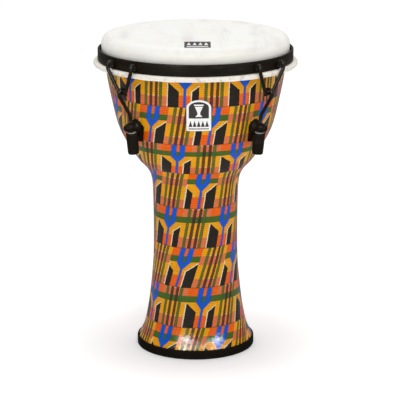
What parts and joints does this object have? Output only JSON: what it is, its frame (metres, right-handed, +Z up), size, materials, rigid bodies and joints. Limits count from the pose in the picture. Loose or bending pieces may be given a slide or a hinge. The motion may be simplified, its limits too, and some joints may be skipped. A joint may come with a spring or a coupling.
{
  "type": "djembe",
  "caption": "Goblet-shaped hand drum with a printed synthetic shell, rubber foot, skin head and a steel tension hoop drawn down by hooked rods and tuning nuts.",
  "frame": {"origin": "centre of the circle the foot stands on", "axes": "+Z up along the drum's axis to the playing surface, -Y towards the badge"},
  "size_m": [0.2564, 0.2564, 0.406],
  "materials": {
    "shell_print": "gloss woven-cloth style print in yellow, orange, salmon, green, blue and black",
    "foot_rubber": "matt black",
    "skin": "smooth off-white drum skin",
    "black_paint": "satin black",
    "gasket_rubber": "matt black",
    "nylon": "white nylon",
    "steel": "zinc plated",
    "badge": null
  },
  "bodies": {
    "drum_shell": {"shell": "shell_print", "foot_ring": "foot_rubber", "drumhead": "skin", "shell_badge": "badge", "lug_casting_1": "black_paint", "lug_gasket_1": "gasket_rubber", "backing_plate_1": "steel", "lug_screw_1_upper": "steel", "lug_screw_1_lower": "steel", "lug_casting_2": "black_paint", "lug_gasket_2": "gasket_rubber", "backing_plate_2": "steel", "lug_screw_2_upper": "steel", "lug_screw_2_lower": "steel", "lug_casting_3": "black_paint", "lug_gasket_3": "gasket_rubber", "backing_plate_3": "steel", "lug_screw_3_upper": "steel", "lug_screw_3_lower": "steel", "lug_casting_4": "black_paint", "lug_gasket_4": "gasket_rubber", "backing_plate_4": "steel", "lug_screw_4_upper": "steel", "lug_screw_4_lower": "steel"},
    "hoop": {"tension_hoop": "black_paint", "flesh_hoop": "skin", "v_link_1": "black_paint", "weld_bead_1a": "black_paint", "weld_bead_1b": "black_paint", "v_link_2": "black_paint", "weld_bead_2a": "black_paint", "weld_bead_2b": "black_paint", "v_link_3": "black_paint", "weld_bead_3a": "black_paint", "weld_bead_3b": "black_paint", "v_link_4": "black_paint", "weld_bead_4a": "black_paint", "weld_bead_4b": "black_paint"},
    "rod_1": {"tension_rod_1": "black_paint"},
    "nut_1": {"tuning_nut_1": "black_paint", "nylon_washer_1": "nylon"},
    "rod_2": {"tension_rod_2": "black_paint"},
    "nut_2": {"tuning_nut_2": "black_paint", "nylon_washer_2": "nylon"},
    "rod_3": {"tension_rod_3": "black_paint"},
    "nut_3": {"tuning_nut_3": "black_paint", "nylon_washer_3": "nylon"},
    "rod_4": {"tension_rod_4": "black_paint"},
    "nut_4": {"tuning_nut_4": "black_paint", "nylon_washer_4": "nylon"}
  },
  "joints": [
    {"name": "hoop_draw", "type": "slide", "parent": "drum_shell", "child": "hoop", "axis": [0, 0, 1], "range_m": [-0.005, 0.0025]},
    {"name": "nut_1_spin", "type": "hinge", "parent": "drum_shell", "child": "nut_1", "pos_m": [0.0787, 0.0787, 0.3024], "axis": [0.0739, 0.0739, 0.9945], "range_deg": [-930, 1860]},
    {"name": "rod_1_draw", "type": "slide", "parent": "drum_shell", "child": "rod_1", "axis": [0.0739, 0.0739, 0.9945], "range_m": [-0.0052, 0.0026]},
    {"name": "nut_2_spin", "type": "hinge", "parent": "drum_shell", "child": "nut_2", "pos_m": [-0.0787, 0.0787, 0.3024], "axis": [-0.0739, 0.0739, 0.9945], "range_deg": [-930, 1860]},
    {"name": "rod_2_draw", "type": "slide", "parent": "drum_shell", "child": "rod_2", "axis": [-0.0739, 0.0739, 0.9945], "range_m": [-0.0052, 0.0026]},
    {"name": "nut_3_spin", "type": "hinge", "parent": "drum_shell", "child": "nut_3", "pos_m": [-0.0787, -0.0787, 0.3024], "axis": [-0.0739, -0.0739, 0.9945], "range_deg": [-930, 1860]},
    {"name": "rod_3_draw", "type": "slide", "parent": "drum_shell", "child": "rod_3", "axis": [-0.0739, -0.0739, 0.9945], "range_m": [-0.0052, 0.0026]},
    {"name": "nut_4_spin", "type": "hinge", "parent": "drum_shell", "child": "nut_4", "pos_m": [0.0787, -0.0787, 0.3024], "axis": [0.0739, -0.0739, 0.9945], "range_deg": [-930, 1860]},
    {"name": "rod_4_draw", "type": "slide", "parent": "drum_shell", "child": "rod_4", "axis": [0.0739, -0.0739, 0.9945], "range_m": [-0.0052, 0.0026]}
  ],
  "couplings": [
    {"joint": "nut_1_spin", "follows": "hoop_draw", "rad_per_m": -6317.8},
    {"joint": "rod_1_draw", "follows": "hoop_draw", "ratio": 1.0055},
    {"joint": "nut_2_spin", "follows": "hoop_draw", "rad_per_m": -6317.8},
    {"joint": "rod_2_draw", "follows": "hoop_draw", "ratio": 1.0055},
    {"joint": "nut_3_spin", "follows": "hoop_draw", "rad_per_m": -6317.8},
    {"joint": "rod_3_draw", "follows": "hoop_draw", "ratio": 1.0055},
    {"joint": "nut_4_spin", "follows": "hoop_draw", "rad_per_m": -6317.8},
    {"joint": "rod_4_draw", "follows": "hoop_draw", "ratio": 1.0055}
  ]
}
